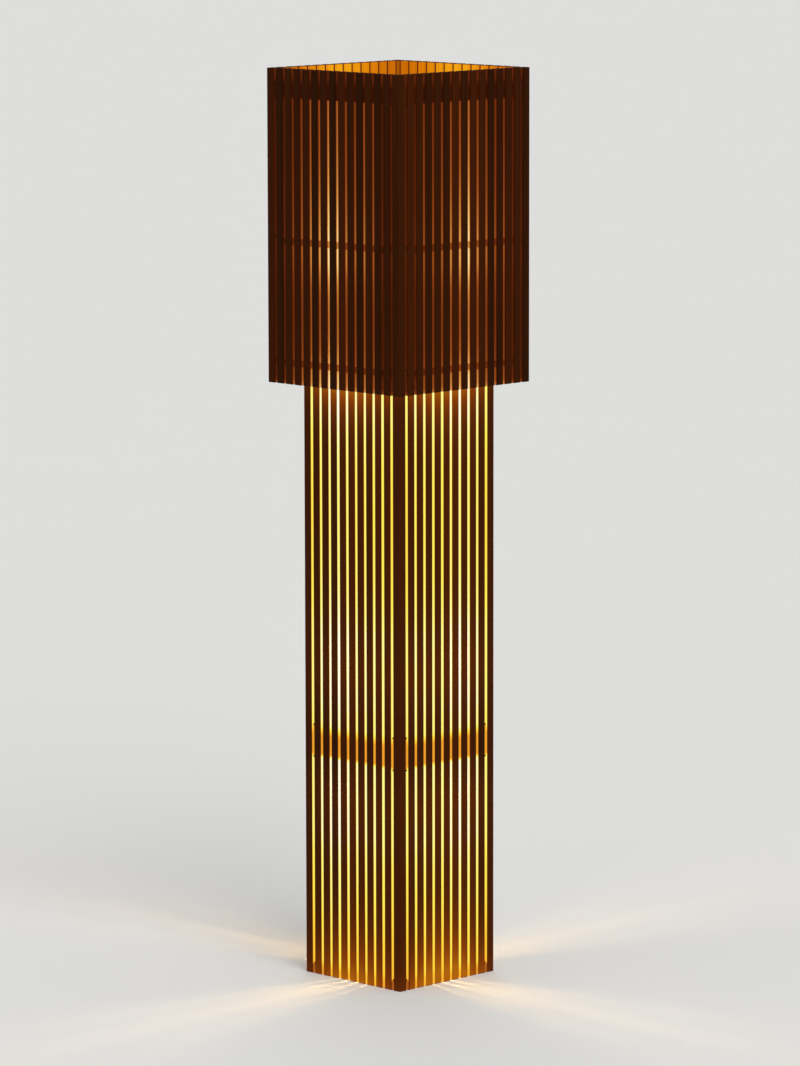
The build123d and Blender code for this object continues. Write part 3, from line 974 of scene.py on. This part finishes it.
class LAMP_OT_wiring(bpy.types.Operator):
    """Finish the leads, clips, terminal block and grommet, and fit the terminal screws"""

    bl_idname = "lamp.wiring"
    bl_label = "Wiring"

    def execute(self, context):
        sheath, grain = mottled(
            "lead_sheath", 1800.0, (0.012, 0.011, 0.010), (0.028, 0.026, 0.024), (0.5, 0.2)
        )
        sheath.bump(grain, 0.00006, 0.5)
        sheath.put_on("lower_lead", "upper_lead", "cord_grommet")
        clip, _ = mottled(
            "clip_plastic", 900.0, (0.028, 0.026, 0.024), (0.05, 0.046, 0.042), (0.45, 0.15)
        )
        clip.put_on("lead_clips")
        block, grain = mottled(
            "block_plastic", 700.0, (0.66, 0.64, 0.58), (0.78, 0.76, 0.70), (0.4, 0.2)
        )
        block.bump(grain, 0.00005, 0.5)
        block.put_on("terminal_block")
        steel, _ = mottled(
            "screw_steel", 2500.0, (0.42, 0.40, 0.37), (0.62, 0.60, 0.56), (0.3, 0.15), 1.0
        )
        low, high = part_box("terminal_block")
        for number, share in enumerate(SCREW_PLACES):
            place = (low[0] + (high[0] - low[0]) * share, low[1], (low[2] + high[2]) / 2)
            screw = self.turn_screw(f"block_screw_{number + 1}", place, context.scene.lamp_sizes)
            self.cut_slot(screw, place, SLOT_TURN + number)
            screw.data.materials.append(steel.material)
            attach(screw, "column")
        return {"FINISHED"}

    @staticmethod
    def turn_screw(name, place, sizes):
        """A round screw with a dished head, set into the block behind its front face."""
        x, front, z = place
        deselect()
        bpy.ops.mesh.primitive_cylinder_add(
            vertices=sizes.screw_sides,
            radius=sizes.screw_radius,
            depth=SCREW_HEIGHT,
            location=(x, front + SCREW_SEAT, z),
            rotation=(math.pi / 2, 0, 0),
        )
        screw = settle(start(name))
        take_up(screw)
        bpy.ops.object.mode_set(mode="EDIT")
        pick_faces(screw, lambda centre, normal: normal.y < -0.9)
        rim, sunk = SCREW_DISH
        bpy.ops.mesh.inset(thickness=sizes.screw_radius * rim, depth=sunk)
        bpy.ops.object.mode_set(mode="OBJECT")
        return screw

    @staticmethod
    def cut_slot(screw, place, turn):
        """Cuts a slot across the head of a screw, turned by an angle."""
        x, front, z = place
        deselect()
        bpy.ops.mesh.primitive_cube_add(
            size=1.0, location=(x, front + SLOT_SEAT, z), rotation=(0, turn, 0), scale=SLOT_SIZE
        )
        cutter = settle(start("slot_cutter"))
        cut = screw.modifiers.new("slot", "BOOLEAN")
        cut.operation = "DIFFERENCE"
        cut.object = cutter
        cut.solver = "EXACT"
        take_up(screw)
        bpy.ops.object.modifier_apply(modifier=cut.name)
        deselect()
        bpy.data.objects.remove(cutter)


class LAMP_OT_stage(bpy.types.Operator):
    """Lay the floor, set the lights and place the camera"""

    bl_idname = "lamp.stage"
    bl_label = "Floor, lights and camera"

    def execute(self, context):
        scene = context.scene
        colours = scene.lamp_colours
        deselect()
        bpy.ops.mesh.primitive_circle_add(
            vertices=FLOOR_SIDES, radius=FLOOR_RADIUS, fill_type="NGON", location=(0, 0, 0)
        )
        floor = start("floor")
        f = Finish("floor_paint")
        mottle = f.noise(f.place, 3.0, detail=3.0)
        tone = tuple(colours.floor)
        f.set(
            Base_Color=f.blend(
                mottle * FLOOR_MOTTLE, tone, tuple(part * FLOOR_DARKER for part in tone)
            ),
            Roughness=0.9,
            Specular_IOR_Level=0.1,
        )
        floor.data.materials.append(f.material)
        self.light_room(scene)
        self.place_camera(scene)
        scene.view_settings.view_transform = "Standard"
        return {"FINISHED"}

    @staticmethod
    def light_room(scene):
        world = bpy.data.worlds.new("studio")
        scene.world = world
        world.use_nodes = True
        sky = world.node_tree.nodes["Background"]
        sky.inputs["Color"].default_value = SKY
        sky.inputs["Strength"].default_value = SKY_STRENGTH
        for name, place, power in LIGHTS:
            deselect()
            bpy.ops.object.light_add(type="SUN", location=place)
            lamp = bpy.context.active_object
            lamp.name = name
            lamp.data.angle = math.radians(LIGHT_SPREAD)
            lamp.data.energy = power
            lamp.rotation_euler = (-Vector(place)).to_track_quat("-Z", "Y").to_euler()

    @staticmethod
    def place_camera(scene):
        data = bpy.data.cameras.new("camera")
        camera = bpy.data.objects.new("camera", data)
        scene.collection.objects.link(camera)
        scene.camera = camera
        data.sensor_fit = "AUTO"
        data.sensor_width = SENSOR
        data.lens = FOCAL_LENGTH / FRAME_HEIGHT * SENSOR
        data.clip_start, data.clip_end = 0.1, 200.0
        yaw, pitch, roll = map(math.radians, (CAMERA_YAW, CAMERA_PITCH, CAMERA_ROLL))
        gaze = Vector(
            (math.cos(pitch) * math.cos(yaw), math.cos(pitch) * math.sin(yaw), math.sin(pitch))
        )
        camera.location = CAMERA_PLACE
        camera.rotation_mode = "QUATERNION"
        camera.rotation_quaternion = gaze.to_track_quat("-Z", "Y") @ Quaternion((0, 0, 1), roll)


OPERATORS = (
    LAMP_OT_sticks,
    LAMP_OT_rails,
    LAMP_OT_bars,
    LAMP_OT_nails,
    LAMP_OT_holders,
    LAMP_OT_bulbs,
    LAMP_OT_wiring,
    LAMP_OT_stage,
)


class LAMP_PT_panel(bpy.types.Panel):
    """The lamp's steps and settings"""

    bl_idname = "LAMP_PT_panel"
    bl_label = "Slatted floor lamp"
    bl_space_type = "VIEW_3D"
    bl_region_type = "UI"
    bl_category = "Lamp"

    def draw(self, context):
        column = self.layout.column(align=True)
        for group in (context.scene.lamp_sizes, context.scene.lamp_colours):
            for name in group.bl_rna.properties.keys():
                if name not in ("rna_type", "name"):
                    column.prop(group, name)
        column = self.layout.column(align=True)
        for operator in OPERATORS:
            column.operator(operator.bl_idname, text=operator.bl_label)


CLASSES = (LampSizes, LampColours, *OPERATORS, LAMP_PT_panel)


def register():
    for made in CLASSES:
        bpy.utils.register_class(made)
    bpy.types.Scene.lamp_sizes = PointerProperty(type=LampSizes)
    bpy.types.Scene.lamp_colours = PointerProperty(type=LampColours)


def unregister():
    del bpy.types.Scene.lamp_colours
    del bpy.types.Scene.lamp_sizes
    for made in reversed(CLASSES):
        bpy.utils.unregister_class(made)


def main():
    register()
    deselect()
    for operator in OPERATORS:
        group, name = operator.bl_idname.split(".")
        getattr(getattr(bpy.ops, group), name)()


if __name__ == "__main__":
    main()
